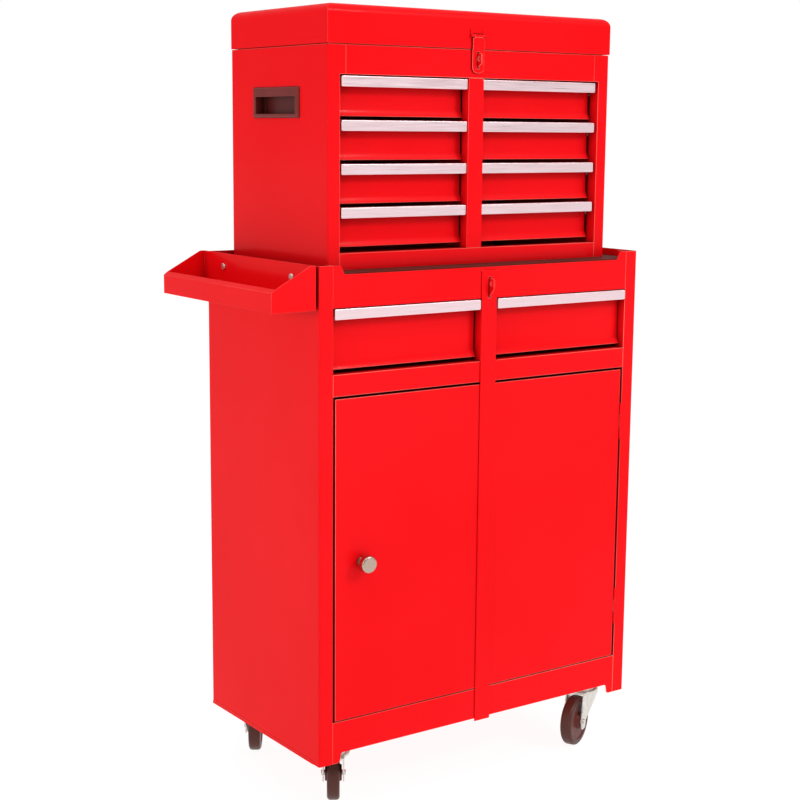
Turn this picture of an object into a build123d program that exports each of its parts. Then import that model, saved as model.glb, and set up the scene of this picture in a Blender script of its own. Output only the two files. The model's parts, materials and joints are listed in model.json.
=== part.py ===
from build123d import *
from math import cos, radians, sin
import os

# Rolling tool chest: a base cabinet on four swivel casters, with a hanging side tray,
# two drawers and one wide door, and a narrower drawer chest that stands loose in the
# base's recessed top. Millimetres, +Z up, the front faces -Y.
# Lengths called x, y and z below are measured from the cabinet's centre line, back from
# the base's front plane, and up from the floor.

# ---------------------------------------------------------------- driving dimensions
SHEET = 1.0  # steel sheet

BASE_HALF = 278.0  # half the base's width
BASE_DEPTH = 300.0
FEET_Z = 81.0  # lower edge of the sides and of the front feet
PAN_Z = 95.0  # underside of the base's bottom pan
DOOR_SILL_Z = 140.0  # top of the bottom rail
DOOR_HEAD_Z = 589.5  # underside of the middle rail
DECK_Z = 618.5  # top of the middle rail and of the deck behind it
DRAWER_HEAD_Z = 706.5  # underside of the top rail
TRAY_FLOOR_Z = 750.0  # recessed top
BASE_TOP_Z = 762.0
BASE_BACK_WALL = 298.0  # inner face of the base's back wall

BASE_OPENING_HALF = 256.5  # from the centre line to a base stile
RETURN_DEPTH = 18.0  # how far a stile's inner return runs back
RAIL_RETURN = 15.0
POST_HALF = 12.5  # half the base's centre post
NOTCH_HALF = 239.0  # half the lowered stretch of the top rail
FOOT_WIDTH = 34.0
HEM_PROUD = 0.8  # the folded hem along each side's lower edge

CHEST_HALF = 242.8  # half the upper chest's width
CHEST_FRONT = 35.2  # the upper chest's front plane
CHEST_BACK = 287.6
CHEST_BACK_WALL = 285.6  # inner face of the chest's back wall
CHEST_Z = 752.0  # the upper chest stands on the mat
CHEST_SILL_Z = 774.0
CHEST_HEAD_Z = 1007.0
CHEST_TOP_Z = 1045.0
CHEST_OPENING_HALF = 223.8
CHEST_POST_HALF = 12.9
CHEST_SEAM = 215.4  # where the top rail meets the heads of the stiles
TILL_Z = 1010.0  # top of the till floor

LID_TOP_Z = 1097.0
LID_OVERHANG = 0.7
LID_EDGE_RADIUS = 12.0

WHEEL_RADIUS = 38.0
WHEEL_WIDTH = 18.0
CASTER_TRAIL = 28.0
CASTER_X = 230.0
CASTER_INSET = 39.6
# direction in which each wheel trails its swivel, in degrees from +X
CASTERS = {
    "front_left": (-CASTER_X, CASTER_INSET, 57.0),
    "front_right": (CASTER_X, CASTER_INSET, 206.0),
    "rear_left": (-CASTER_X, BASE_DEPTH - CASTER_INSET, 56.0),
    "rear_right": (CASTER_X, BASE_DEPTH - CASTER_INSET, 50.0),
}

TRAY_REACH = 71.0  # how far the side tray stands out from the base's left side
KNOB_REACH = 22.0

SCREW_RADIUS = 2.0
SCREW_PLACES = [(58.0, 744.0), (242.0, 744.0)]  # y and z of the tray's screws

# The part's origin is on the floor, under the middle of its outline.
REAR_REACH = (
    BASE_DEPTH - CASTER_INSET
    + (CASTER_TRAIL + WHEEL_RADIUS) * sin(radians(56.0))
    + WHEEL_WIDTH / 2 * cos(radians(56.0)) - 2.2
)
ORIGIN_X = TRAY_REACH / 2
ORIGIN_Y = (KNOB_REACH - REAR_REACH) / 2

os.makedirs("parts", exist_ok=True)


# ---------------------------------------------------------------- helpers
def point(x, y, z):
    """A place in the part's frame, from its distances on the cabinet."""
    return (ORIGIN_X + x, ORIGIN_Y + y, z)


def level(z, x=0, y=0):
    """Horizontal sketch plane at height z."""
    return Plane(point(x, y, z))


def facing_front(y, x=0, z=0):
    """Upright sketch plane across the cabinet. Its first axis is +X, its second is +Z."""
    return Plane(point(x, y, z), x_dir=(1, 0, 0), z_dir=(0, -1, 0))


def facing_right(x, y=0, z=0):
    """Upright sketch plane along the cabinet. Its first axis is +Y, its second is +Z."""
    return Plane(point(x, y, z), x_dir=(0, 1, 0), z_dir=(1, 0, 0))


def block(x, y, z, mode=Mode.ADD):
    """Box between two limits on each axis, in the part that is open."""
    centre = point((x[0] + x[1]) / 2, (y[0] + y[1]) / 2, (z[0] + z[1]) / 2)
    with Locations(centre):
        Box(abs(x[1] - x[0]), abs(y[1] - y[0]), abs(z[1] - z[0]), mode=mode)


def save(part, name):
    """Label a finished piece and write its file."""
    part.part.label = name
    export_step(part.part, f"parts/{name}.step")


def mirrored(side, limits):
    """Limits on x for the given side: -1 for the left, 1 for the right."""
    return sorted(side * value for value in limits)


# ---------------------------------------------------------------- base cabinet
def base_side(side):
    """One side of the base: the wall, the front stile with its inner return, a rear flange."""
    wall = BASE_HALF
    edge = BASE_OPENING_HALF
    with BuildPart() as panel:
        with BuildSketch(level(FEET_Z)):
            with BuildLine():
                Polyline(
                    (side * (edge + SHEET), RETURN_DEPTH),
                    (side * edge, RETURN_DEPTH),
                    (side * edge, 0),
                    (side * wall, 0),
                    (side * wall, BASE_DEPTH),
                    (side * (wall - 12), BASE_DEPTH),
                    (side * (wall - 12), BASE_DEPTH - SHEET),
                    (side * (wall - SHEET), BASE_DEPTH - SHEET),
                    (side * (wall - SHEET), SHEET),
                    (side * (edge + SHEET), SHEET),
                    close=True,
                )
            make_face()
        extrude(amount=BASE_TOP_Z - FEET_Z)
        block(
            mirrored(side, (edge, edge + SHEET)),
            (SHEET, RETURN_DEPTH),
            (FEET_Z, PAN_Z + SHEET),
            mode=Mode.SUBTRACT,
        )
        front_corner = panel.edges().filter_by(Axis.Z).group_by(Axis.Y)[0]
        fillet(front_corner.sort_by(Axis.X)[0 if side < 0 else -1], radius=2.5)
        block(
            mirrored(side, (wall, wall + HEM_PROUD)),
            (RAIL_RETURN, BASE_DEPTH),
            (FEET_Z, FEET_Z + 4),
        )
        if side < 0:
            with BuildSketch(facing_right(-wall)):
                with Locations(*SCREW_PLACES):
                    Circle(SCREW_RADIUS + 0.1)
            extrude(amount=SHEET, mode=Mode.SUBTRACT)
    return panel


for side_name, side in (("left", -1), ("right", 1)):
    save(base_side(side), f"base_{side_name}_side")

with BuildPart() as base_back:
    block(
        (-BASE_HALF + SHEET, BASE_HALF - SHEET),
        (BASE_BACK_WALL, BASE_BACK_WALL + SHEET),
        (FEET_Z + 2, BASE_TOP_Z),
    )
save(base_back, "base_back")

# The bottom pan's front edge is folded up into the bottom rail, with the inner halves of
# the front feet below it.
with BuildPart() as base_bottom:
    block(
        (-BASE_HALF + SHEET, BASE_HALF - SHEET),
        (RETURN_DEPTH, BASE_BACK_WALL),
        (PAN_Z, PAN_Z + SHEET),
    )
    block((-BASE_OPENING_HALF, BASE_OPENING_HALF), (0, RETURN_DEPTH), (PAN_Z, PAN_Z + SHEET))
    block((-BASE_OPENING_HALF, BASE_OPENING_HALF), (0, SHEET), (PAN_Z, DOOR_SILL_Z))
    block(
        (-BASE_OPENING_HALF, BASE_OPENING_HALF),
        (0, RAIL_RETURN),
        (DOOR_SILL_Z - SHEET, DOOR_SILL_Z),
    )
    for side in (-1, 1):
        inner = BASE_HALF - FOOT_WIDTH
        with BuildSketch(facing_front(0)):
            with BuildLine():
                Polyline(
                    (side * BASE_OPENING_HALF, PAN_Z + 1),
                    (side * BASE_OPENING_HALF, FEET_Z),
                    (side * (inner + 4), FEET_Z),
                    (side * (inner + 1), FEET_Z + 1.2),
                    (side * inner, FEET_Z + 4),
                    (side * (inner - 1), PAN_Z - 3),
                    (side * (inner - 4), PAN_Z + 1),
                    close=True,
                )
            make_face()
        extrude(amount=-SHEET)
save(base_bottom, "base_bottom")

# The recessed top: its front edge is folded down into the top rail, whose middle stretch
# is lowered so that tools can be swept out over it.
with BuildPart() as base_top_pan:
    with BuildSketch(facing_front(0)) as rail:
        with BuildLine():
            Polyline(
                (-BASE_OPENING_HALF, DRAWER_HEAD_Z),
                (BASE_OPENING_HALF, DRAWER_HEAD_Z),
                (BASE_OPENING_HALF, BASE_TOP_Z),
                (NOTCH_HALF + 5, BASE_TOP_Z),
                (NOTCH_HALF, TRAY_FLOOR_Z),
                (-NOTCH_HALF, TRAY_FLOOR_Z),
                (-NOTCH_HALF - 5, BASE_TOP_Z),
                (-BASE_OPENING_HALF, BASE_TOP_Z),
                close=True,
            )
        make_face()
        fillet(rail.vertices().group_by(Axis.Y)[-2], radius=4)
        fillet(rail.vertices().group_by(Axis.Y)[-1].sort_by(Axis.X)[1:3], radius=4)
    extrude(amount=-SHEET)
    block(
        (-BASE_OPENING_HALF, BASE_OPENING_HALF),
        (0, RETURN_DEPTH),
        (TRAY_FLOOR_Z - SHEET, TRAY_FLOOR_Z),
    )
    block(
        (-BASE_HALF + SHEET, BASE_HALF - SHEET),
        (RETURN_DEPTH, BASE_BACK_WALL),
        (TRAY_FLOOR_Z - SHEET, TRAY_FLOOR_Z),
    )
    block(
        (-BASE_OPENING_HALF, BASE_OPENING_HALF),
        (0, RAIL_RETURN),
        (DRAWER_HEAD_Z, DRAWER_HEAD_Z + SHEET),
    )
save(base_top_pan, "base_top_pan")

# The deck under the two drawers. Its front edge is folded down into the middle rail.
with BuildPart() as base_deck:
    block((-BASE_OPENING_HALF, BASE_OPENING_HALF), (0, SHEET), (DOOR_HEAD_Z, DECK_Z))
    block(
        (-BASE_OPENING_HALF, BASE_OPENING_HALF),
        (0, RAIL_RETURN),
        (DOOR_HEAD_Z, DOOR_HEAD_Z + SHEET),
    )
    block(
        (-BASE_OPENING_HALF, BASE_OPENING_HALF),
        (0, RETURN_DEPTH),
        (DECK_Z - SHEET, DECK_Z),
    )
    block(
        (-BASE_HALF + SHEET, BASE_HALF - SHEET),
        (RETURN_DEPTH, BASE_BACK_WALL),
        (DECK_Z - SHEET, DECK_Z),
    )
save(base_deck, "base_deck")


def divider(half, front, back, bottom, top, post_bottom, post_top):
    """Upright panel between two columns of drawers, behind a folded post."""
    with BuildPart() as panel:
        block((-half, half), (front, front + SHEET), (post_bottom, post_top))
        for side in (-1, 1):
            flange = mirrored(side, (half - SHEET, half))
            block(flange, (front, front + RAIL_RETURN), (post_bottom, post_top))
        block((-SHEET / 2, SHEET / 2), (front, back), (post_bottom, post_top))
        block((-SHEET / 2, SHEET / 2), (front + 20, back), (bottom, top))
    return panel


save(
    divider(
        POST_HALF, 0, BASE_BACK_WALL, DECK_Z, TRAY_FLOOR_Z - SHEET, DECK_Z, DRAWER_HEAD_Z
    ),
    "base_divider",
)


# ---------------------------------------------------------------- drawers
FLANGE = 6.0  # a drawer's side flanges stand out this far and slide in the channels
CHANNEL_GAP = 0.4  # clearance round a flange
PULL_HEIGHT = 14.3
FACE_SETBACK = 15.5  # a drawer's face lies this far behind the front of its pull
LIP_FLARE = 5.0  # the foot of the face flares forward by this much
FLANGE_DROP = 18.0  # from a pull's upper edge down to the slide flanges


def channel_pair(side, inner, outer, top, front, back):
    """The two C-shaped channels that one drawer slides in, added to the open part."""
    low = top - FLANGE_DROP - CHANNEL_GAP
    high = top - FLANGE_DROP + SHEET + CHANNEL_GAP
    for web, reach in ((inner, 1), (outer + SHEET, -1)):
        lips = mirrored(side, (web, web + reach * FLANGE))
        spine = mirrored(side, (web, web + reach * SHEET))
        block(spine, (front, back), (low - SHEET, high + SHEET))
        block(lips, (front, back), (low - SHEET, low))
        block(lips, (front, back), (high, high + SHEET))


def drawer_box(side, face_x, slide_x, front, back, top, height):
    """Folded steel drawer: face_x limits its front and slide_x its channels' webs."""
    face = front + FACE_SETBACK
    floor = top - height + 3
    wall_top = top - FLANGE_DROP + SHEET
    inner = slide_x[0] + CHANNEL_GAP + FLANGE
    outer = slide_x[1] - CHANNEL_GAP - FLANGE
    body = mirrored(side, (inner, outer))
    width = face_x[1] - face_x[0]
    with BuildPart() as drawer:
        with BuildSketch(facing_right(mirrored(side, face_x)[0])):
            with BuildLine():
                Polyline(
                    (front + 2.5, top - 0.8),
                    (face + SHEET, top - 0.8),
                    (face + SHEET, top - height + 10),
                    (face + SHEET - LIP_FLARE, top - height),
                    (face - LIP_FLARE, top - height),
                    (face, top - height + 10),
                    (face, top - 0.8 - SHEET),
                    (front + 2.5, top - 0.8 - SHEET),
                    close=True,
                )
            make_face()
        extrude(amount=width)
        block(body, (face + SHEET, back), (floor, floor + SHEET))
        block(body, (back - SHEET, back), (floor, wall_top))
        for wall, reach in ((inner, -1), (outer, 1)):
            wall_x = mirrored(side, (wall, wall - reach * SHEET))
            flange_x = mirrored(side, (wall - reach * SHEET, wall + reach * FLANGE))
            block(wall_x, (face + SHEET, back), (floor, wall_top))
            block(flange_x, (face + SHEET + 3, back), (wall_top - SHEET, wall_top))
    return drawer


def drawer_pull(side, face_x, front, top):
    """Aluminium extrusion along a drawer's upper edge, hooked over its folded top."""
    lip = top - PULL_HEIGHT
    with BuildPart() as pull:
        with BuildSketch(facing_right(mirrored(side, face_x)[0])) as profile:
            with BuildLine():
                Polyline(
                    (front, lip),
                    (front, top),
                    (front + FACE_SETBACK - 3, top),
                    (front + FACE_SETBACK - 3, top - 0.8),
                    (front + 2.5, top - 0.8),
                    (front + 2.5, top - 4),
                    (front + 1.4, top - 5),
                    (front + 1.4, lip + 1.4),
                    (front + 3.6, lip + 1.4),
                    (front + 3.6, lip),
                    close=True,
                )
            make_face()
            fillet(profile.vertices().group_by(Axis.X)[0], radius=1.1)
        extrude(amount=face_x[1] - face_x[0])
        middle = side * (face_x[0] + face_x[1]) / 2
        with BuildSketch(facing_front(front + FACE_SETBACK, middle, top - PULL_HEIGHT / 2)):
            RectangleRounded(face_x[1] - face_x[0], PULL_HEIGHT, 2.5)
        extrude(amount=FACE_SETBACK, mode=Mode.INTERSECT)
    return pull


# The two wide drawers of the base
BASE_PULL_FRONT = -2.0
BASE_PULL_TOP = 705.3
BASE_DRAWER_HEIGHT = 80.8
BASE_FACE_X = (15.2, 254.8)
BASE_SLIDE_X = (POST_HALF + SHEET, BASE_OPENING_HALF)

for side_name, side in (("left", -1), ("right", 1)):
    box = drawer_box(
        side, BASE_FACE_X, BASE_SLIDE_X, BASE_PULL_FRONT, 290.0, BASE_PULL_TOP,
        BASE_DRAWER_HEIGHT,
    )
    save(box, f"base_{side_name}_drawer")
    pull = drawer_pull(side, BASE_FACE_X, BASE_PULL_FRONT, BASE_PULL_TOP)
    save(pull, f"base_{side_name}_drawer_pull")

with BuildPart() as base_drawer_channels:
    for side in (-1, 1):
        channel_pair(side, POST_HALF, BASE_OPENING_HALF, BASE_PULL_TOP, RETURN_DEPTH, 297)
save(base_drawer_channels, "base_drawer_channels")

# The eight drawers of the upper chest, four to a column
CHEST_PULL_FRONT = CHEST_FRONT + 2.5
CHEST_PULL_TOP = 1005.5
CHEST_ROWS = 4
CHEST_ROW_PITCH = 57.2
CHEST_DRAWER_HEIGHT = 52.2
CHEST_FACE_X = (13.6, 219.8)
CHEST_SLIDE_X = (CHEST_POST_HALF + SHEET, CHEST_OPENING_HALF)

with BuildPart() as chest_drawer_channels:
    for side in (-1, 1):
        for row in range(CHEST_ROWS):
            channel_pair(
                side, CHEST_POST_HALF, CHEST_OPENING_HALF,
                CHEST_PULL_TOP - row * CHEST_ROW_PITCH, CHEST_FRONT + RETURN_DEPTH + 2, 285,
            )
save(chest_drawer_channels, "chest_drawer_channels")

for side_name, side in (("left", -1), ("right", 1)):
    for row in range(CHEST_ROWS):
        top = CHEST_PULL_TOP - row * CHEST_ROW_PITCH
        box = drawer_box(
            side, CHEST_FACE_X, CHEST_SLIDE_X, CHEST_PULL_FRONT, 278.0, top,
            CHEST_DRAWER_HEIGHT,
        )
        save(box, f"chest_{side_name}_drawer_{row + 1}")
        pull = drawer_pull(side, CHEST_FACE_X, CHEST_PULL_FRONT, top)
        save(pull, f"chest_{side_name}_drawer_{row + 1}_pull")


# ---------------------------------------------------------------- top mat and side tray
with BuildPart() as top_mat:
    block((-254, 254), (3, RETURN_DEPTH + 0.5), (TRAY_FLOOR_Z, CHEST_Z))
    block((-274, 274), (RETURN_DEPTH + 0.5, BASE_BACK_WALL - 2), (TRAY_FLOOR_Z, CHEST_Z))
save(top_mat, "top_mat")

TRAY_GAP = 5.0  # the tray's inner wall stands off the base's side
TRAY_INNER = -BASE_HALF - TRAY_GAP
TRAY_OUTER = -BASE_HALF - TRAY_REACH
TRAY_BOTTOM_Z = 705.0
TRAY_WALL_Z = 731.0  # the outer wall ends here and leans inwards as a lip
TRAY_LIP_Z = 735.5
TRAY_LIP = 6.0
TRAY_BACK_Z = 763.0

with BuildPart() as side_tray:
    block((TRAY_OUTER, TRAY_INNER), (0, BASE_DEPTH), (TRAY_BOTTOM_Z, TRAY_BOTTOM_Z + SHEET))
    block((TRAY_OUTER, TRAY_OUTER + SHEET), (0, BASE_DEPTH), (TRAY_BOTTOM_Z, TRAY_WALL_Z))
    with BuildSketch(facing_front(0)):
        with BuildLine():
            Polyline(
                (TRAY_OUTER, TRAY_WALL_Z - 0.5),
                (TRAY_OUTER, TRAY_WALL_Z),
                (TRAY_OUTER + TRAY_LIP, TRAY_LIP_Z),
                (TRAY_OUTER + TRAY_LIP + 0.5, TRAY_LIP_Z - SHEET),
                (TRAY_OUTER + SHEET, TRAY_WALL_Z - 0.5),
                close=True,
            )
        make_face()
    extrude(amount=-BASE_DEPTH)
    block((TRAY_INNER - SHEET, TRAY_INNER), (0, BASE_DEPTH), (TRAY_BOTTOM_Z, TRAY_BACK_Z))
    for end in (SHEET, BASE_DEPTH):
        with BuildSketch(facing_front(end)):
            with BuildLine():
                Polyline(
                    (TRAY_OUTER, TRAY_BOTTOM_Z),
                    (TRAY_INNER, TRAY_BOTTOM_Z),
                    (TRAY_INNER, TRAY_BACK_Z),
                    (TRAY_INNER - 8, TRAY_BACK_Z),
                    (TRAY_OUTER + TRAY_LIP, TRAY_LIP_Z),
                    (TRAY_OUTER, TRAY_WALL_Z),
                    close=True,
                )
            make_face()
        extrude(amount=SHEET)
    with BuildSketch(facing_right(TRAY_INNER - SHEET)):
        with Locations(*SCREW_PLACES):
            Circle(SCREW_RADIUS + 0.1)
    extrude(amount=SHEET, mode=Mode.SUBTRACT)
save(side_tray, "side_tray")

# Each screw passes through the tray's inner wall, a spacer and the base's side.
with BuildPart() as side_tray_screws:
    with BuildSketch(facing_right(TRAY_INNER - SHEET - 2.4)):
        with Locations(*SCREW_PLACES):
            Circle(5.0)
    extrude(amount=2.4)
    fillet(side_tray_screws.faces().sort_by(Axis.X)[:2].edges(), radius=1.2)
    with BuildSketch(facing_right(TRAY_INNER - SHEET)):
        with Locations(*SCREW_PLACES):
            Circle(SCREW_RADIUS)
    extrude(amount=TRAY_GAP + 2 * SHEET + 6)
    with BuildSketch(facing_right(TRAY_INNER)):
        with Locations(*SCREW_PLACES):
            Circle(5.0)
    extrude(amount=TRAY_GAP)
    with BuildSketch(facing_right(-BASE_HALF + SHEET)):
        with Locations(*SCREW_PLACES):
            RegularPolygon(radius=4.2, side_count=6)
    extrude(amount=3)
save(side_tray_screws, "side_tray_screws")


# ---------------------------------------------------------------- door and its lock strip
DOOR_LEFT = -252.6
DOOR_RIGHT = 252.5
DOOR_BOTTOM_Z = 141.5
DOOR_TOP_Z = 585.9
DOOR_THICK = 15.0
HINGE_X = (DOOR_RIGHT + BASE_OPENING_HALF) / 2
HINGE_Y = -0.6
KNUCKLE_RADIUS = 1.8
HINGE_PIN_RADIUS = 0.9
HINGE_LENGTH = 55.0
HINGE_FOOTS_Z = (192.6, 480.0)

with BuildPart() as door:
    block((DOOR_LEFT, DOOR_RIGHT), (0, DOOR_THICK), (DOOR_BOTTOM_Z, DOOR_TOP_Z))
    block(
        (DOOR_LEFT + SHEET, DOOR_RIGHT - SHEET),
        (SHEET, DOOR_THICK),
        (DOOR_BOTTOM_Z + SHEET, DOOR_TOP_Z - SHEET),
        mode=Mode.SUBTRACT,
    )
    for edge, reach in ((DOOR_LEFT, 1), (DOOR_RIGHT, -1)):
        block(
            sorted((edge, edge + reach * 14)),
            (DOOR_THICK - SHEET, DOOR_THICK),
            (DOOR_BOTTOM_Z, DOOR_TOP_Z),
        )
save(door, "door")


def knuckle(foot, length):
    """Piece of a door hinge's barrel, added to the open part."""
    with BuildSketch(level(foot, HINGE_X, HINGE_Y)) as ring:
        Circle(KNUCKLE_RADIUS)
    extrude(ring.sketch, amount=length)


# The base's leaves, each with the two outer knuckles and the pin
with BuildPart() as door_hinges:
    third = HINGE_LENGTH / 3
    for foot in HINGE_FOOTS_Z:
        knuckle(foot, third - 0.2)
        knuckle(foot + 2 * third + 0.2, third - 0.2)
        with BuildSketch(level(foot, HINGE_X, HINGE_Y)):
            Circle(HINGE_PIN_RADIUS)
        extrude(amount=HINGE_LENGTH)
        for low in (foot, foot + 2 * third + 0.2):
            block((HINGE_X + 1.2, BASE_OPENING_HALF), (HINGE_Y, 12), (low, low + third - 0.2))
save(door_hinges, "door_hinges")

# The door's leaves, each with the middle knuckle
with BuildPart() as door_hinge_leaves:
    for foot in HINGE_FOOTS_Z:
        low = foot + third + 0.2
        block((DOOR_RIGHT, HINGE_X - 1.2), (HINGE_Y, 12), (low, low + third - 0.4))
        knuckle(low, third - 0.4)
        with BuildSketch(level(low, HINGE_X, HINGE_Y)):
            Circle(HINGE_PIN_RADIUS + 0.06)
        extrude(amount=third - 0.4, mode=Mode.SUBTRACT)
save(door_hinge_leaves, "door_hinge_leaves")

KNOB_X = -211.0
KNOB_Z = 360.5
KNOB_RADIUS = 12.0
with BuildPart() as door_knob:
    with BuildSketch(facing_right(KNOB_X, 0, KNOB_Z)):
        with BuildLine():
            Polyline(
                (0, 0), (0, 7), (-1.5, 7), (-1.5, 5), (-10, 5), (-12.5, KNOB_RADIUS),
                (-KNOB_REACH, KNOB_RADIUS), (-KNOB_REACH, 0), close=True,
            )
        make_face()
    revolve(axis=Axis(point(KNOB_X, 0, KNOB_Z), (0, 1, 0)))
    fillet(door_knob.faces().sort_by(Axis.Y)[0].edges(), radius=3)
save(door_knob, "door_knob")

# The strip is fixed to the door. It covers the gap between the drawers and has a slot
# near its top for the padlock staple.
STRIP_HALF = 13.5
STRIP_THICK = 2.0
STRIP_BOTTOM_Z = 91.5
STRIP_TOP_Z = 746.0
STAPLE_SLOT_HALF = 2.2
BASE_STAPLE_Z = (709.0, 734.0)

with BuildPart() as lock_strip:
    block((-STRIP_HALF, STRIP_HALF), (-STRIP_THICK, 0), (STRIP_BOTTOM_Z, STRIP_TOP_Z))
    front_face = lock_strip.faces().sort_by(Axis.Y)[0]
    fillet(front_face.edges(), radius=0.9)
    block(
        (-STAPLE_SLOT_HALF, STAPLE_SLOT_HALF),
        (-STRIP_THICK, 0),
        (BASE_STAPLE_Z[0] - 2, BASE_STAPLE_Z[1] + 2),
        mode=Mode.SUBTRACT,
    )
save(lock_strip, "lock_strip")


# ---------------------------------------------------------------- padlock staples
PADLOCK_HOLE_RADIUS = 3.5
STAPLE_THICK = 2.0


def staple(root, reach, foot, head):
    """Upright steel plate that stands out of the front, rounded round a padlock hole."""
    tip = root - reach
    with BuildPart() as plate:
        with BuildSketch(facing_right(-STAPLE_THICK / 2)) as outline:
            with BuildLine():
                Polyline(
                    (root, foot), (root, head), (tip, head), (tip, head - 14),
                    (root - 3.5, foot), close=True,
                )
            make_face()
            fillet(outline.vertices().group_by(Axis.X)[0], radius=3)
            with Locations((tip + 5, head - 7)):
                Circle(PADLOCK_HOLE_RADIUS, mode=Mode.SUBTRACT)
        extrude(amount=STAPLE_THICK)
    return plate


save(staple(0, 12.5, *BASE_STAPLE_Z), "base_staple")
CHEST_STAPLE_Z = (1021.5, 1040.0)
save(staple(CHEST_FRONT, 11.5, *CHEST_STAPLE_Z), "chest_staple")


# ---------------------------------------------------------------- upper chest
CUP_Y = (104.5, 225.5)
CUP_Z = (950.5, 992.0)
CUP_MOUTH_Y = (113.0, 217.0)
CUP_MOUTH_Z = (956.0, 979.0)
CUP_WALL = 1.5
CUP_PROUD = 3.0
CUP_DEPTH = 14.0


def grown(limits, amount):
    """Limits moved apart by the given amount at each end."""
    return (limits[0] - amount, limits[1] + amount)


def chest_side(side):
    """One side of the chest: wall, front stile with a wider head, return, rear flange."""
    wall = CHEST_HALF
    edge = CHEST_OPENING_HALF
    front = CHEST_FRONT
    with BuildPart() as panel:
        with BuildSketch(level(CHEST_Z)):
            with BuildLine():
                Polyline(
                    (side * (edge + SHEET), front + RETURN_DEPTH),
                    (side * edge, front + RETURN_DEPTH),
                    (side * edge, front),
                    (side * wall, front),
                    (side * wall, CHEST_BACK),
                    (side * (wall - 10), CHEST_BACK),
                    (side * (wall - 10), CHEST_BACK - SHEET),
                    (side * (wall - SHEET), CHEST_BACK - SHEET),
                    (side * (wall - SHEET), front + SHEET),
                    (side * (edge + SHEET), front + SHEET),
                    close=True,
                )
            make_face()
        extrude(amount=CHEST_TOP_Z - CHEST_Z)
        block(
            mirrored(side, (CHEST_SEAM, edge + 2)),
            (front, front + SHEET),
            (CHEST_HEAD_Z, CHEST_TOP_Z),
        )
        front_corner = panel.edges().filter_by(Axis.Z).group_by(Axis.Y)[0]
        fillet(front_corner.sort_by(Axis.X)[0 if side < 0 else -1], radius=2.5)
        block(
            mirrored(side, (wall - SHEET, wall)),
            grown(CUP_MOUTH_Y, CUP_WALL + 0.2),
            grown(CUP_MOUTH_Z, CUP_WALL + 0.2),
            mode=Mode.SUBTRACT,
        )
    return panel


for side_name, side in (("left", -1), ("right", 1)):
    save(chest_side(side), f"chest_{side_name}_side")

# The two moulded cups let into the sides: a chamfered frame round a finger recess
with BuildPart() as carry_cups:
    for side in (-1, 1):
        wall = CHEST_HALF
        block(mirrored(side, (wall, wall + CUP_PROUD)), CUP_Y, CUP_Z)
        outer_face = carry_cups.faces().sort_by(Axis.X)[0 if side < 0 else -1]
        chamfer(outer_face.edges(), length=2.2)
        block(
            mirrored(side, (wall - CUP_DEPTH, wall)),
            grown(CUP_MOUTH_Y, CUP_WALL),
            grown(CUP_MOUTH_Z, CUP_WALL),
        )
        block(
            mirrored(side, (wall - CUP_DEPTH + CUP_WALL, wall + CUP_PROUD)),
            CUP_MOUTH_Y,
            CUP_MOUTH_Z,
            mode=Mode.SUBTRACT,
        )
save(carry_cups, "carry_cups")

CHEST_INNER = CHEST_HALF - SHEET
CHEST_STILE_BACK = CHEST_FRONT + RETURN_DEPTH

with BuildPart() as chest_back:
    block(
        (-CHEST_INNER, CHEST_INNER),
        (CHEST_BACK_WALL, CHEST_BACK_WALL + SHEET),
        (CHEST_Z + 2, CHEST_TOP_Z),
    )
save(chest_back, "chest_back")

with BuildPart() as chest_bottom:
    opening = (-CHEST_OPENING_HALF, CHEST_OPENING_HALF)
    block(
        (-CHEST_INNER, CHEST_INNER),
        (CHEST_STILE_BACK, CHEST_BACK_WALL),
        (CHEST_Z, CHEST_Z + SHEET),
    )
    block(opening, (CHEST_FRONT, CHEST_STILE_BACK), (CHEST_Z, CHEST_Z + SHEET))
    block(opening, (CHEST_FRONT, CHEST_FRONT + SHEET), (CHEST_Z, CHEST_SILL_Z))
    block(
        opening,
        (CHEST_FRONT, CHEST_FRONT + RAIL_RETURN),
        (CHEST_SILL_Z - SHEET, CHEST_SILL_Z),
    )
save(chest_bottom, "chest_bottom")

with BuildPart() as chest_top_rail:
    seam = CHEST_SEAM - 0.3
    block((-seam, seam), (CHEST_FRONT, CHEST_FRONT + SHEET), (CHEST_HEAD_Z, CHEST_TOP_Z))
    block(
        (-seam, seam),
        (CHEST_FRONT, CHEST_FRONT + RAIL_RETURN),
        (CHEST_HEAD_Z, CHEST_HEAD_Z + SHEET),
    )
    block(
        (-seam, seam),
        (CHEST_FRONT, CHEST_FRONT + 8),
        (CHEST_TOP_Z - SHEET, CHEST_TOP_Z),
    )
save(chest_top_rail, "chest_top_rail")

with BuildPart() as chest_till_floor:
    block(opening, (CHEST_FRONT + SHEET, CHEST_STILE_BACK), (TILL_Z - SHEET, TILL_Z))
    block(
        (-CHEST_INNER, CHEST_INNER),
        (CHEST_STILE_BACK, CHEST_BACK_WALL),
        (TILL_Z - SHEET, TILL_Z),
    )
save(chest_till_floor, "chest_till_floor")

save(
    divider(
        CHEST_POST_HALF,
        CHEST_FRONT + 0.5,
        CHEST_BACK_WALL,
        CHEST_SILL_Z,
        TILL_Z - SHEET,
        CHEST_SILL_Z,
        CHEST_HEAD_Z,
    ),
    "chest_divider",
)


# ---------------------------------------------------------------- lid, its hinge and hasp
LID_HALF = CHEST_HALF + LID_OVERHANG
LID_FRONT = CHEST_FRONT - LID_OVERHANG
LID_BACK = CHEST_BACK + LID_OVERHANG
LID_Z = CHEST_TOP_Z + 1.0
LID_PIN_Y = LID_BACK + 3.4
LID_PIN_Z = CHEST_TOP_Z + 0.5
LID_KNUCKLE_RADIUS = 2.5
LID_PIN_RADIUS = 1.2
LID_HINGE_HALF = 225.0
LID_KNUCKLES = 9


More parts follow.
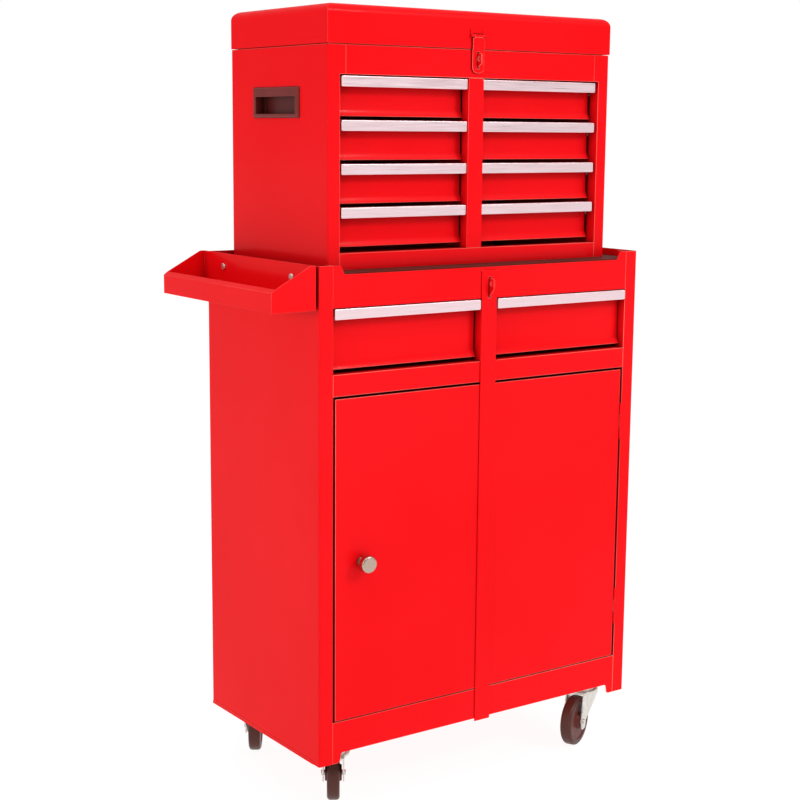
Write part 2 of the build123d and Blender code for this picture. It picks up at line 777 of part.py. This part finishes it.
def lid_knuckles(first, leaf_y, leaf_z, bore_radius):
    """Every second knuckle of the piano hinge with its leaf, added to the open part."""
    pitch = 2 * LID_HINGE_HALF / LID_KNUCKLES
    for index in range(first, LID_KNUCKLES, 2):
        start = -LID_HINGE_HALF + index * pitch + 0.3
        reach = (start, start + pitch - 0.6)
        with BuildSketch(facing_right(start, LID_PIN_Y, LID_PIN_Z)) as ring:
            Circle(LID_KNUCKLE_RADIUS)
        extrude(ring.sketch, amount=pitch - 0.6)
        block(reach, leaf_y, leaf_z)
        with BuildSketch(facing_right(start, LID_PIN_Y, LID_PIN_Z)) as bore:
            Circle(bore_radius)
        extrude(bore.sketch, amount=pitch - 0.6, mode=Mode.SUBTRACT)


with BuildPart() as lid:
    block((-LID_HALF, LID_HALF), (LID_FRONT, LID_BACK), (LID_Z, LID_TOP_Z))
    fillet(lid.faces().sort_by(Axis.Z)[-1].edges(), radius=LID_EDGE_RADIUS)
    offset(amount=-SHEET, openings=lid.faces().sort_by(Axis.Z)[0])
    lid_knuckles(
        1, (LID_BACK, LID_BACK + 1.2), (LID_PIN_Z + 0.6, LID_PIN_Z + 16), LID_PIN_RADIUS + 0.06
    )
save(lid, "lid")

# The chest's leaf of the piano hinge, with its knuckles and the pin
with BuildPart() as lid_hinge:
    lid_knuckles(
        0, (CHEST_BACK, CHEST_BACK + 1.9), (LID_PIN_Z - 16, LID_PIN_Z - 0.6), LID_PIN_RADIUS
    )
    with BuildSketch(facing_right(-LID_HINGE_HALF, LID_PIN_Y, LID_PIN_Z)):
        Circle(LID_PIN_RADIUS)
    extrude(amount=2 * LID_HINGE_HALF)
save(lid_hinge, "lid_hinge")

HASP_HALF = 10.0
HASP_PIN_HALF = 13.0
HASP_PIN_Y = LID_FRONT - 2.2
HASP_PIN_Z = 1063.5
HASP_KNUCKLE_RADIUS = 2.1
HASP_PIN_RADIUS = 1.1
HASP_THICK = 1.4
HASP_FOOT_Z = 1013.5
HASP_JOG_Z = 1044.5
HASP_MIDDLE = 7.4  # half the strap's own knuckle

# The hasp's leaf on the lid, with the two outer knuckles and the pin
with BuildPart() as hasp_hinge:
    for side in (-1, 1):
        outer = mirrored(side, (HASP_MIDDLE + 0.3, HASP_PIN_HALF))
        with BuildSketch(facing_right(outer[0], HASP_PIN_Y, HASP_PIN_Z)):
            Circle(HASP_KNUCKLE_RADIUS)
        extrude(amount=outer[1] - outer[0])
        block(outer, (HASP_PIN_Y + 0.7, LID_FRONT), (HASP_PIN_Z, HASP_PIN_Z + 9))
    block((-HASP_PIN_HALF, HASP_PIN_HALF), (LID_FRONT - 0.8, LID_FRONT),
          (HASP_PIN_Z + 3.4, HASP_PIN_Z + 9))
    with BuildSketch(facing_right(-HASP_PIN_HALF, HASP_PIN_Y, HASP_PIN_Z)):
        Circle(HASP_PIN_RADIUS)
    extrude(amount=2 * HASP_PIN_HALF)
save(hasp_hinge, "hasp_hinge")

# The swinging strap: jogged back where the lid ends, with a slot for the staple
with BuildPart() as hasp_strap:
    upper = HASP_PIN_Y + 0.4
    lower = upper + 1.0
    with BuildSketch(facing_right(-HASP_HALF)):
        with BuildLine():
            Polyline(
                (upper, HASP_PIN_Z),
                (upper, HASP_JOG_Z + 2),
                (lower, HASP_JOG_Z - 2),
                (lower, HASP_FOOT_Z),
                (lower - HASP_THICK, HASP_FOOT_Z),
                (lower - HASP_THICK, HASP_JOG_Z - 2),
                (upper - HASP_THICK, HASP_JOG_Z + 2),
                (upper - HASP_THICK, HASP_PIN_Z),
                close=True,
            )
        make_face()
    extrude(amount=2 * HASP_HALF)
    with BuildSketch(facing_front(CHEST_FRONT)) as outline:
        with BuildLine():
            Polyline(
                (-HASP_HALF, HASP_FOOT_Z),
                (HASP_HALF, HASP_FOOT_Z),
                (HASP_HALF, HASP_PIN_Z - 3),
                (HASP_MIDDLE, HASP_PIN_Z - 3),
                (HASP_MIDDLE, HASP_PIN_Z + 3),
                (-HASP_MIDDLE, HASP_PIN_Z + 3),
                (-HASP_MIDDLE, HASP_PIN_Z - 3),
                (-HASP_HALF, HASP_PIN_Z - 3),
                close=True,
            )
        make_face()
        fillet(outline.vertices().group_by(Axis.Y)[0], radius=8)
        with Locations((0, (CHEST_STAPLE_Z[0] + CHEST_STAPLE_Z[1]) / 2)):
            Rectangle(4.0, CHEST_STAPLE_Z[1] - CHEST_STAPLE_Z[0] + 4, mode=Mode.SUBTRACT)
    extrude(amount=20, mode=Mode.INTERSECT)
    with BuildSketch(facing_right(-HASP_MIDDLE, HASP_PIN_Y, HASP_PIN_Z)):
        Circle(HASP_KNUCKLE_RADIUS)
    extrude(amount=2 * HASP_MIDDLE)
    with BuildSketch(facing_right(-HASP_MIDDLE, HASP_PIN_Y, HASP_PIN_Z)):
        Circle(HASP_PIN_RADIUS + 0.06)
    extrude(amount=2 * HASP_MIDDLE, mode=Mode.SUBTRACT)
save(hasp_strap, "hasp_strap")


# ---------------------------------------------------------------- casters
PLATE_HALF = 29.0
PLATE_THICK = 2.5
CROWN_Z = 79.0  # underside of a fork's crown
CROWN_THICK = 3.0
RACE_TOP_Z = PAN_Z - PLATE_THICK - 0.3
KINGPIN_RADIUS = 5.0
AXLE_RADIUS = 4.0
FORK_HALF = 15.5
FORK_SHEET = 2.2
FORK_FRONT = 29.0  # how far the fork reaches ahead of its swivel
HUB_HALF = 12.0
WEB_DISH = 1.6  # depth of the dish in each face of a wheel
AXLE_REACH = FORK_HALF + 2.0


def along(x, y, heading, z=0.0, side=0.0):
    """Upright plane of a caster: its first axis runs along the trail, its second is +Z."""
    a = radians(heading)
    origin = point(x + side * sin(a), y - side * cos(a), z)
    return Plane(origin, x_dir=(cos(a), sin(a), 0), z_dir=(sin(a), -cos(a), 0))


def caster_fork(x, y, heading):
    """Swivelling fork: raceway, crown and two tapered legs, with the axle between them."""
    with BuildPart() as fork:
        with BuildSketch(level(CROWN_Z, x, y)):
            Circle(23)
        extrude(amount=CROWN_THICK)
        with BuildSketch(level(CROWN_Z + CROWN_THICK, x, y)):
            Circle(19)
        extrude(amount=RACE_TOP_Z - CROWN_Z - CROWN_THICK, taper=10)
        for inner in (-FORK_HALF, FORK_HALF - FORK_SHEET):
            with BuildSketch(along(x, y, heading, 0, inner)) as leg:
                with BuildLine():
                    Polyline(
                        (-FORK_FRONT, CROWN_Z + CROWN_THICK),
                        (27, CROWN_Z + CROWN_THICK),
                        (CASTER_TRAIL + 9, WHEEL_RADIUS),
                        (CASTER_TRAIL + 7, WHEEL_RADIUS - 12),
                        (CASTER_TRAIL - 7, WHEEL_RADIUS - 12),
                        (CASTER_TRAIL - 9, WHEEL_RADIUS),
                        (-FORK_FRONT, CROWN_Z - 9),
                        close=True,
                    )
                make_face()
                fillet(leg.vertices().group_by(Axis.Y)[0], radius=4)
            extrude(amount=FORK_SHEET)
        with BuildSketch(along(x, y, heading, 0, -FORK_HALF)):
            with BuildLine():
                Polyline(
                    (-FORK_FRONT, CROWN_Z),
                    (27, CROWN_Z),
                    (27, CROWN_Z + CROWN_THICK),
                    (-FORK_FRONT, CROWN_Z + CROWN_THICK),
                    close=True,
                )
            make_face()
        extrude(amount=2 * FORK_HALF)
        with BuildSketch(level(CROWN_Z, x, y)):
            Circle(KINGPIN_RADIUS + 0.08)
        extrude(amount=PAN_Z - CROWN_Z, mode=Mode.SUBTRACT)
        with BuildSketch(along(x, y, heading, WHEEL_RADIUS, -AXLE_REACH)):
            with Locations((CASTER_TRAIL, 0)):
                Circle(AXLE_RADIUS)
        extrude(amount=2 * AXLE_REACH)
    return fork


def caster_wheel(x, y, heading):
    """Moulded wheel with a rounded tread, a dished web and a longer hub."""
    half = WHEEL_WIDTH / 2
    a = radians(heading)
    centre = point(
        x + CASTER_TRAIL * cos(a), y + CASTER_TRAIL * sin(a), WHEEL_RADIUS
    )
    across = (-sin(a), cos(a), 0)
    with BuildPart() as wheel:
        with BuildSketch(Plane(centre, x_dir=across, z_dir=(cos(a), sin(a), 0))) as outline:
            with BuildLine():
                Polyline(
                    (-HUB_HALF, AXLE_RADIUS + 0.08),
                    (-HUB_HALF, 11),
                    (-half + WEB_DISH, 13),
                    (-half + WEB_DISH, 27),
                    (-half, 29),
                    (-half, WHEEL_RADIUS),
                    (half, WHEEL_RADIUS),
                    (half, 29),
                    (half - WEB_DISH, 27),
                    (half - WEB_DISH, 13),
                    (HUB_HALF, 11),
                    (HUB_HALF, AXLE_RADIUS + 0.08),
                    close=True,
                )
            make_face()
            fillet(outline.vertices().group_by(Axis.Y)[-1], radius=5)
        revolve(axis=Axis(centre, across))
    return wheel


for place, (x, y, heading) in CASTERS.items():
    save(caster_fork(x, y, heading), f"caster_{place}_fork")
    save(caster_wheel(x, y, heading), f"caster_{place}_wheel")

# The four mounting plates, each with its kingpin riveted over below the fork's crown
with BuildPart() as caster_plates:
    rivet_top = CROWN_Z - 0.3
    for x, y, heading in CASTERS.values():
        with BuildSketch(level(PAN_Z - PLATE_THICK, x, y)):
            RectangleRounded(2 * PLATE_HALF, 2 * PLATE_HALF, 6)
        extrude(amount=PLATE_THICK)
        with BuildSketch(level(rivet_top, x, y)):
            Circle(KINGPIN_RADIUS)
        extrude(amount=PAN_Z - rivet_top)
        with BuildSketch(level(rivet_top, x, y)):
            Circle(KINGPIN_RADIUS + 3)
        extrude(amount=-3)
save(caster_plates, "caster_plates")
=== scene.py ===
import json
from math import cos, radians, sin

import bmesh
import bpy
from mathutils import Matrix, Vector


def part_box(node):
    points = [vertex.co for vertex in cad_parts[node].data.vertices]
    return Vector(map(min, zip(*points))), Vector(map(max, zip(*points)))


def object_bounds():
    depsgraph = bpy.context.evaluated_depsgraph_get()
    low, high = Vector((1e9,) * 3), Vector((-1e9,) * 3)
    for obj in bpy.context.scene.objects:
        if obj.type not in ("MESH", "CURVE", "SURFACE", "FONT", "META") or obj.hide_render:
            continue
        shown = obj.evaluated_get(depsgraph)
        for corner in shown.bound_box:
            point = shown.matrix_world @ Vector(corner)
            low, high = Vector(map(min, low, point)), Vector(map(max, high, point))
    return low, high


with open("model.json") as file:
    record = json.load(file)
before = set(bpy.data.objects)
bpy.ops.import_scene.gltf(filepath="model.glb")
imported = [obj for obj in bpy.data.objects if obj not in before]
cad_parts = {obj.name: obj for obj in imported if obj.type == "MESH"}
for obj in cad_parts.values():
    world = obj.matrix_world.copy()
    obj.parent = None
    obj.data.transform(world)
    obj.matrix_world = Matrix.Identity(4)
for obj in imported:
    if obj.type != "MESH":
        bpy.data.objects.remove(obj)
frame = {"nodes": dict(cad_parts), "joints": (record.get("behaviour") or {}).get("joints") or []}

# Rolling tool chest: materials, edge rounding, floor, light and camera.
# Metres, in the same frame as the CAD.
CAD_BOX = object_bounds()
NODES = frame["nodes"]
SCENE = bpy.context.scene

TEXTURE_RANGE = (0.3, 0.7)  # where nearly all values of a noise texture lie
PAINTED_SHADE_REACH = 0.030  # how near another surface has to be for painted shade to darken the colour
PAINTED_SHADE_OPENNESS = (0.18, 0.74)  # share of open sky at full and at no painted shade
TREAD_START = (0.0280, 0.0295)  # radii between which a wheel's web turns into its tread

EDGE_WIDTH = 0.00040
CUP_EDGE_WIDTH = 0.0008
EDGE_ANGLE = radians(35)
FLAT_ANGLE = radians(0.5)
WELD_DISTANCE = 0.00002

FLOOR_RADIUS = 40.0
FLOOR_GAP = 0.0005  # the floor lies this much below the wheels
FLOOR_GREY = 0.1
FLOOR_GLOW = 0.94
ROOM_GREY = 0.34
CEILING_GREY = 0.9
CEILING_START = 0.8


# ---------------------------------------------------------------- material helpers
def new_material(name):
    """Empty node material, returned with its Principled shader."""
    material = bpy.data.materials.new(name)
    material.use_nodes = True
    shader = material.node_tree.nodes["Principled BSDF"]
    return material, shader


def add(material, kind, **settings):
    """New node of the given kind, with its inputs and properties set."""
    node = material.node_tree.nodes.new(kind)
    for key, value in settings.items():
        if key in node.inputs:
            node.inputs[key].default_value = value
        else:
            setattr(node, key, value)
    return node


def link(material, output, target):
    material.node_tree.links.new(output, target)


def local(material, stretch=(1.0, 1.0, 1.0)):
    """The piece's own coordinates in metres, stretched for a directional texture."""
    coordinates = add(material, "ShaderNodeTexCoord")
    mapping = add(material, "ShaderNodeMapping", Scale=stretch)
    link(material, coordinates.outputs["Object"], mapping.inputs["Vector"])
    return mapping.outputs["Vector"]


def noise(material, vector, scale, detail=3.0, roughness=0.5):
    node = add(material, "ShaderNodeTexNoise", Scale=scale, Detail=detail, Roughness=roughness)
    link(material, vector, node.inputs["Vector"])
    return node.outputs["Fac"]


def remap(material, value, source, target=(0.0, 1.0)):
    """Maps a value from the source range to the target range."""
    node = add(material, "ShaderNodeMapRange")
    node.inputs["From Min"].default_value = source[0]
    node.inputs["From Max"].default_value = source[1]
    node.inputs["To Min"].default_value = target[0]
    node.inputs["To Max"].default_value = target[1]
    link(material, value, node.inputs["Value"])
    return node.outputs["Result"]


def spread(material, value, low, high):
    """Maps a noise texture's value to the range from low to high."""
    return remap(material, value, TEXTURE_RANGE, (low, high))


def tint(material, value, first, second):
    """Colour between two others, chosen by a 0 to 1 value."""
    node = add(material, "ShaderNodeMix", data_type="RGBA")
    node.inputs[6].default_value = (*first, 1.0)
    node.inputs[7].default_value = (*second, 1.0)
    link(material, value, node.inputs["Factor"])
    return node.outputs[2]


def bump(material, shader, height, distance, strength=1.0):
    node = add(material, "ShaderNodeBump", Strength=strength, Distance=distance)
    link(material, height, node.inputs["Height"])
    link(material, node.outputs["Normal"], shader.inputs["Normal"])


# ---------------------------------------------------------------- materials
def painted_crevice_shade(material, colour, shade):
    """Colour with painted shade: it turns to the shade colour in narrow gaps and folds."""
    near = add(material, "ShaderNodeAmbientOcclusion", Distance=PAINTED_SHADE_REACH, samples=6)
    openness = remap(material, near.outputs["AO"], PAINTED_SHADE_OPENNESS)
    mix = add(material, "ShaderNodeMix", data_type="RGBA")
    mix.inputs[6].default_value = (*shade, 1.0)
    link(material, colour, mix.inputs[7])
    link(material, openness, mix.inputs["Factor"])
    return mix.outputs[2]


def paint(name, first, second):
    """Powder coat: clouded colour, painted shade in crevices, orange peel and uneven gloss."""
    material, shader = new_material(name)
    shader.inputs["Specular IOR Level"].default_value = 0.03
    shader.inputs["Coat Weight"].default_value = 0.06
    shader.inputs["Coat Roughness"].default_value = 0.08
    vector = local(material)
    cloud = noise(material, vector, 3.5, 2.0)
    colour = tint(material, spread(material, cloud, 0.0, 1.0), first, second)
    # Painted shade: the red darkens to this deep red in gaps, folds and recesses.
    link(material, painted_crevice_shade(material, colour, (0.20, 0.001, 0.002)),
         shader.inputs["Base Color"])
    gloss = noise(material, vector, 38.0, 2.0)
    link(material, spread(material, gloss, 0.28, 0.36), shader.inputs["Roughness"])
    peel = noise(material, vector, 620.0, 2.0, 0.6)
    bump(material, shader, peel, 0.00003, 0.4)
    return material


def brushed_metal(name, first, second, stretch, rough, grain=900.0):
    """Metal with fine brush lines, drawn out along the axis with the small stretch."""
    material, shader = new_material(name)
    shader.inputs["Metallic"].default_value = 1.0
    vector = local(material, stretch)
    lines = noise(material, vector, grain, 3.0, 0.65)
    link(material, tint(material, spread(material, lines, 0.0, 1.0), first, second),
         shader.inputs["Base Color"])
    link(material, spread(material, lines, rough - 0.07, rough + 0.09),
         shader.inputs["Roughness"])
    bump(material, shader, lines, 0.00003, 0.5)
    return material


def galvanised(name, first, second, rough):
    """Bright zinc: soft mottling and a slightly rough, uneven surface."""
    material, shader = new_material(name)
    shader.inputs["Metallic"].default_value = 1.0
    vector = local(material)
    mottle = noise(material, vector, 110.0, 5.0, 0.6)
    link(material, tint(material, spread(material, mottle, 0.0, 1.0), first, second),
         shader.inputs["Base Color"])
    link(material, spread(material, mottle, rough - 0.08, rough + 0.1),
         shader.inputs["Roughness"])
    fine = noise(material, vector, 900.0, 2.0)
    bump(material, shader, fine, 0.00004, 0.5)
    return material


def moulded(name, first, second, rough, grain, depth):
    """Moulded plastic with painted shade in its corners, a fine texture and uneven gloss."""
    material, shader = new_material(name)
    shader.inputs["Specular IOR Level"].default_value = 0.2
    vector = local(material)
    patches = noise(material, vector, 45.0, 4.0)
    colour = tint(material, spread(material, patches, 0.0, 1.0), first, second)
    # Painted shade: the colour darkens to near black inside the cups and in their corners.
    link(material, painted_crevice_shade(material, colour, (0.02, 0.002, 0.001)),
         shader.inputs["Base Color"])
    link(material, spread(material, patches, rough - 0.06, rough + 0.1),
         shader.inputs["Roughness"])
    bump(material, shader, noise(material, vector, grain, 3.0), depth, 0.6)
    return material


def ribbed_mat(name):
    """Dark rubber mat with fine ribs across it."""
    material, shader = new_material(name)
    shader.inputs["Specular IOR Level"].default_value = 0.1
    vector = local(material)
    dust = noise(material, vector, 30.0, 5.0)
    link(material, tint(material, spread(material, dust, 0.0, 1.0),
                        (0.09, 0.016, 0.012), (0.14, 0.026, 0.020)),
         shader.inputs["Base Color"])
    link(material, spread(material, dust, 0.5, 0.7), shader.inputs["Roughness"])
    ribs = add(material, "ShaderNodeTexWave", Scale=110.0, bands_direction="Y")
    link(material, vector, ribs.inputs["Vector"])
    bump(material, shader, ribs.outputs["Fac"], 0.0006, 0.8)
    return material


def wheel_material(name, centre, across):
    """Hard rubber wheel with a scuffed surface: a brown web and a darker tread."""
    material, shader = new_material(name)
    shader.inputs["Specular IOR Level"].default_value = 0.2
    vector = local(material)
    arm = add(material, "ShaderNodeVectorMath", operation="SUBTRACT")
    arm.inputs[1].default_value = centre
    link(material, vector, arm.inputs[0])
    lever = add(material, "ShaderNodeVectorMath", operation="CROSS_PRODUCT")
    lever.inputs[1].default_value = across
    link(material, arm.outputs[0], lever.inputs[0])
    radius = add(material, "ShaderNodeVectorMath", operation="LENGTH")
    link(material, lever.outputs[0], radius.inputs[0])
    rim = remap(material, radius.outputs["Value"], TREAD_START)
    link(material, tint(material, rim, (0.125, 0.024, 0.018), (0.085, 0.028, 0.021)),
         shader.inputs["Base Color"])
    scuff = noise(material, vector, 60.0, 5.0, 0.6)
    link(material, spread(material, scuff, 0.3, 0.5), shader.inputs["Roughness"])
    bump(material, shader, noise(material, vector, 700.0, 2.0), 0.00006, 0.6)
    return material


RED = paint("red_powder_coat", (0.87, 0.003, 0.006), (0.91, 0.006, 0.010))
# Painted highlight: a paler, cream red for the narrow rounded edge strips, standing in for the
# light their folds catch.
RED_EDGE_HIGHLIGHT = paint("red_powder_coat_painted_highlight", (0.93, 0.05, 0.04), (1.0, 0.34, 0.27))
# The pink tint in the aluminium is a painted reflection of the red paint around the pulls.
ALUMINIUM = brushed_metal("satin_aluminium", (0.91, 0.68, 0.71), (1.0, 0.80, 0.84),
                          (0.02, 1.0, 1.0), 0.34)
ZINC = galvanised("bright_zinc", (0.60, 0.56, 0.52), (0.82, 0.79, 0.75), 0.30)
NICKEL = brushed_metal("brushed_nickel", (0.42, 0.30, 0.23), (0.62, 0.48, 0.40),
                       (1.0, 1.0, 1.0), 0.22)
CUP = moulded("black_plastic", (0.15, 0.016, 0.012), (0.19, 0.022, 0.018), 0.34, 900.0,
              0.00006)
MAT = ribbed_mat("ribbed_mat")


def give(node, material):
    """Puts one material on a CAD node."""
    slots = NODES[node].material_slots
    for slot in slots:
        slot.material = material
    if not slots:
        NODES[node].data.materials.append(material)


ALUMINIUM_NODES = [name for name in NODES if name.endswith("_pull")]
ZINC_NODES = ["base_drawer_channels", "chest_drawer_channels", "caster_plates",
              "side_tray_screws"]
ZINC_NODES += [name for name in NODES if name.endswith("_fork")]

for name in NODES:
    give(name, RED)
for name in ALUMINIUM_NODES:
    give(name, ALUMINIUM)
for name in ZINC_NODES:
    give(name, ZINC)
give("door_knob", NICKEL)
give("carry_cups", CUP)
give("top_mat", MAT)

for joint in frame["joints"]:
    if joint["name"].endswith("_roll"):
        node = joint["child"]
        low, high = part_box(node)
        give(node, wheel_material(node + "_rubber", (low + high) / 2, joint["axis"]))


# ---------------------------------------------------------------- folded and rounded edges
# These nodes' flat faces are merged from long thin triangles, so that they shade evenly.
FLAT_NODES = ("base_left_side", "base_right_side", "side_tray")


def soften(node, width, painted_highlight_material=None):
    """Rounds a CAD node's sharp edges with modifiers, so that they catch the light.

    The rounded strips can have a material of their own, which gives them a painted highlight.
    """
    piece = NODES[node]
    smooth = [True] * len(piece.data.polygons)
    piece.data.polygons.foreach_set("use_smooth", smooth)
    weld = piece.modifiers.new("weld", "WELD")
    weld.merge_threshold = WELD_DISTANCE
    if node in FLAT_NODES:
        flat = piece.modifiers.new("flat", "DECIMATE")
        flat.decimate_type = "DISSOLVE"
        flat.angle_limit = FLAT_ANGLE
    edge = piece.modifiers.new("edge", "BEVEL")
    edge.width = width
    edge.segments = 2
    edge.limit_method = "ANGLE"
    edge.angle_limit = EDGE_ANGLE
    if painted_highlight_material:
        piece.data.materials.append(painted_highlight_material)
        edge.material = len(piece.data.materials) - 1
    even = piece.modifiers.new("even", "WEIGHTED_NORMAL")
    even.mode = "FACE_AREA"
    even.weight = 90


# Painted nodes get the pale red on their rounded edges as a painted highlight.
for name in NODES:
    painted = NODES[name].material_slots[0].material == RED
    edge_width = CUP_EDGE_WIDTH if name == "carry_cups" else EDGE_WIDTH
    soften(name, edge_width, RED_EDGE_HIGHLIGHT if painted else None)


# ---------------------------------------------------------------- floor, light and camera
def area_light(name, place, target, width, height, power):
    """Rectangular studio light, upright where it is taller than wide."""
    data = bpy.data.lights.new(name, "AREA")
    data.shape = "RECTANGLE"
    data.size = width
    data.size_y = height
    data.energy = power
    lamp = bpy.data.objects.new(name, data)
    lamp.location = place
    aim = Vector(target) - Vector(place)
    lamp.rotation_euler = aim.to_track_quat("-Z", "Y").to_euler()
    SCENE.collection.objects.link(lamp)


floor_mesh = bpy.data.meshes.new("floor")
shape = bmesh.new()
bmesh.ops.create_circle(shape, cap_ends=True, segments=96, radius=FLOOR_RADIUS)
shape.to_mesh(floor_mesh)
shape.free()
floor = bpy.data.objects.new("floor", floor_mesh)
floor.location.z = CAD_BOX[0][2] - FLOOR_GAP
SCENE.collection.objects.link(floor)
floor_material, floor_shader = new_material("pale_floor")
floor_shader.inputs["Base Color"].default_value = (FLOOR_GREY, FLOOR_GREY, FLOOR_GREY, 1.0)
floor_shader.inputs["Roughness"].default_value = 0.9
floor_shader.inputs["Specular IOR Level"].default_value = 0.0
floor_shader.inputs["Emission Color"].default_value = (1.0, 1.0, 1.0, 1.0)
floor_shader.inputs["Emission Strength"].default_value = FLOOR_GLOW
floor.data.materials.append(floor_material)

# The backdrop shows white, and lights the object as a grey room that is paler overhead.
world = bpy.data.worlds.new("studio")
world.use_nodes = True
SCENE.world = world
tree = world.node_tree
backdrop = tree.nodes["Background"]
backdrop.inputs["Color"].default_value = (1.0, 1.0, 1.0, 1.0)
room = tree.nodes.new("ShaderNodeBackground")
direction = tree.nodes.new("ShaderNodeTexCoord")
height = tree.nodes.new("ShaderNodeSeparateXYZ")
walls = tree.nodes.new("ShaderNodeValToRGB")
walls.color_ramp.elements[0].position = 0.0
walls.color_ramp.elements[0].color = (ROOM_GREY, ROOM_GREY, ROOM_GREY, 1.0)
walls.color_ramp.elements[1].position = CEILING_START
walls.color_ramp.elements[1].color = (CEILING_GREY, CEILING_GREY, CEILING_GREY, 1.0)
seen = tree.nodes.new("ShaderNodeLightPath")
either = tree.nodes.new("ShaderNodeMixShader")
tree.links.new(direction.outputs["Generated"], height.inputs[0])
tree.links.new(height.outputs["Z"], walls.inputs["Fac"])
tree.links.new(walls.outputs["Color"], room.inputs["Color"])
tree.links.new(seen.outputs["Is Camera Ray"], either.inputs[0])
tree.links.new(room.outputs[0], either.inputs[1])
tree.links.new(backdrop.outputs[0], either.inputs[2])
tree.links.new(either.outputs[0], tree.nodes["World Output"].inputs["Surface"])

area_light("key", (2.4, -4.2, 3.6), (0.0, 0.0, 0.6), 1.0, 1.0, 105.0)
area_light("left_strip", (-3.4, -1.1, 1.2), (0.0, 0.0, 0.7), 0.12, 2.4, 16.0)
area_light("top_strip", (-1.2, -1.6, 3.8), (0.0, 0.0, 0.9), 2.4, 0.12, 18.0)

SCENE.view_settings.view_transform = "Standard"
SCENE.view_settings.look = "None"

CAMERA_PLACE = (-1.329, -1.878, 0.9385)
CAMERA_YAW = radians(35.086)
CAMERA_PITCH = radians(9.721)
CAMERA_ROLL = radians(0.492)
CAMERA_LENS = 71.46  # millimetres, as is the sensor's width
CAMERA_SENSOR = 36.0
forward = Vector((
    sin(CAMERA_YAW) * cos(CAMERA_PITCH),
    cos(CAMERA_YAW) * cos(CAMERA_PITCH),
    -sin(CAMERA_PITCH),
))
level_right = Vector((cos(CAMERA_YAW), -sin(CAMERA_YAW), 0.0))
level_up = level_right.cross(forward)
right = cos(CAMERA_ROLL) * level_right + sin(CAMERA_ROLL) * level_up
up = cos(CAMERA_ROLL) * level_up - sin(CAMERA_ROLL) * level_right
camera_data = bpy.data.cameras.new("camera")
camera_data.sensor_fit = "HORIZONTAL"
camera_data.sensor_width = CAMERA_SENSOR
camera_data.lens = CAMERA_LENS
camera = bpy.data.objects.new("camera", camera_data)
camera.matrix_world = Matrix((
    (right.x, up.x, -forward.x, CAMERA_PLACE[0]),
    (right.y, up.y, -forward.y, CAMERA_PLACE[1]),
    (right.z, up.z, -forward.z, CAMERA_PLACE[2]),
    (0.0, 0.0, 0.0, 1.0),
))
SCENE.collection.objects.link(camera)
SCENE.camera = camera
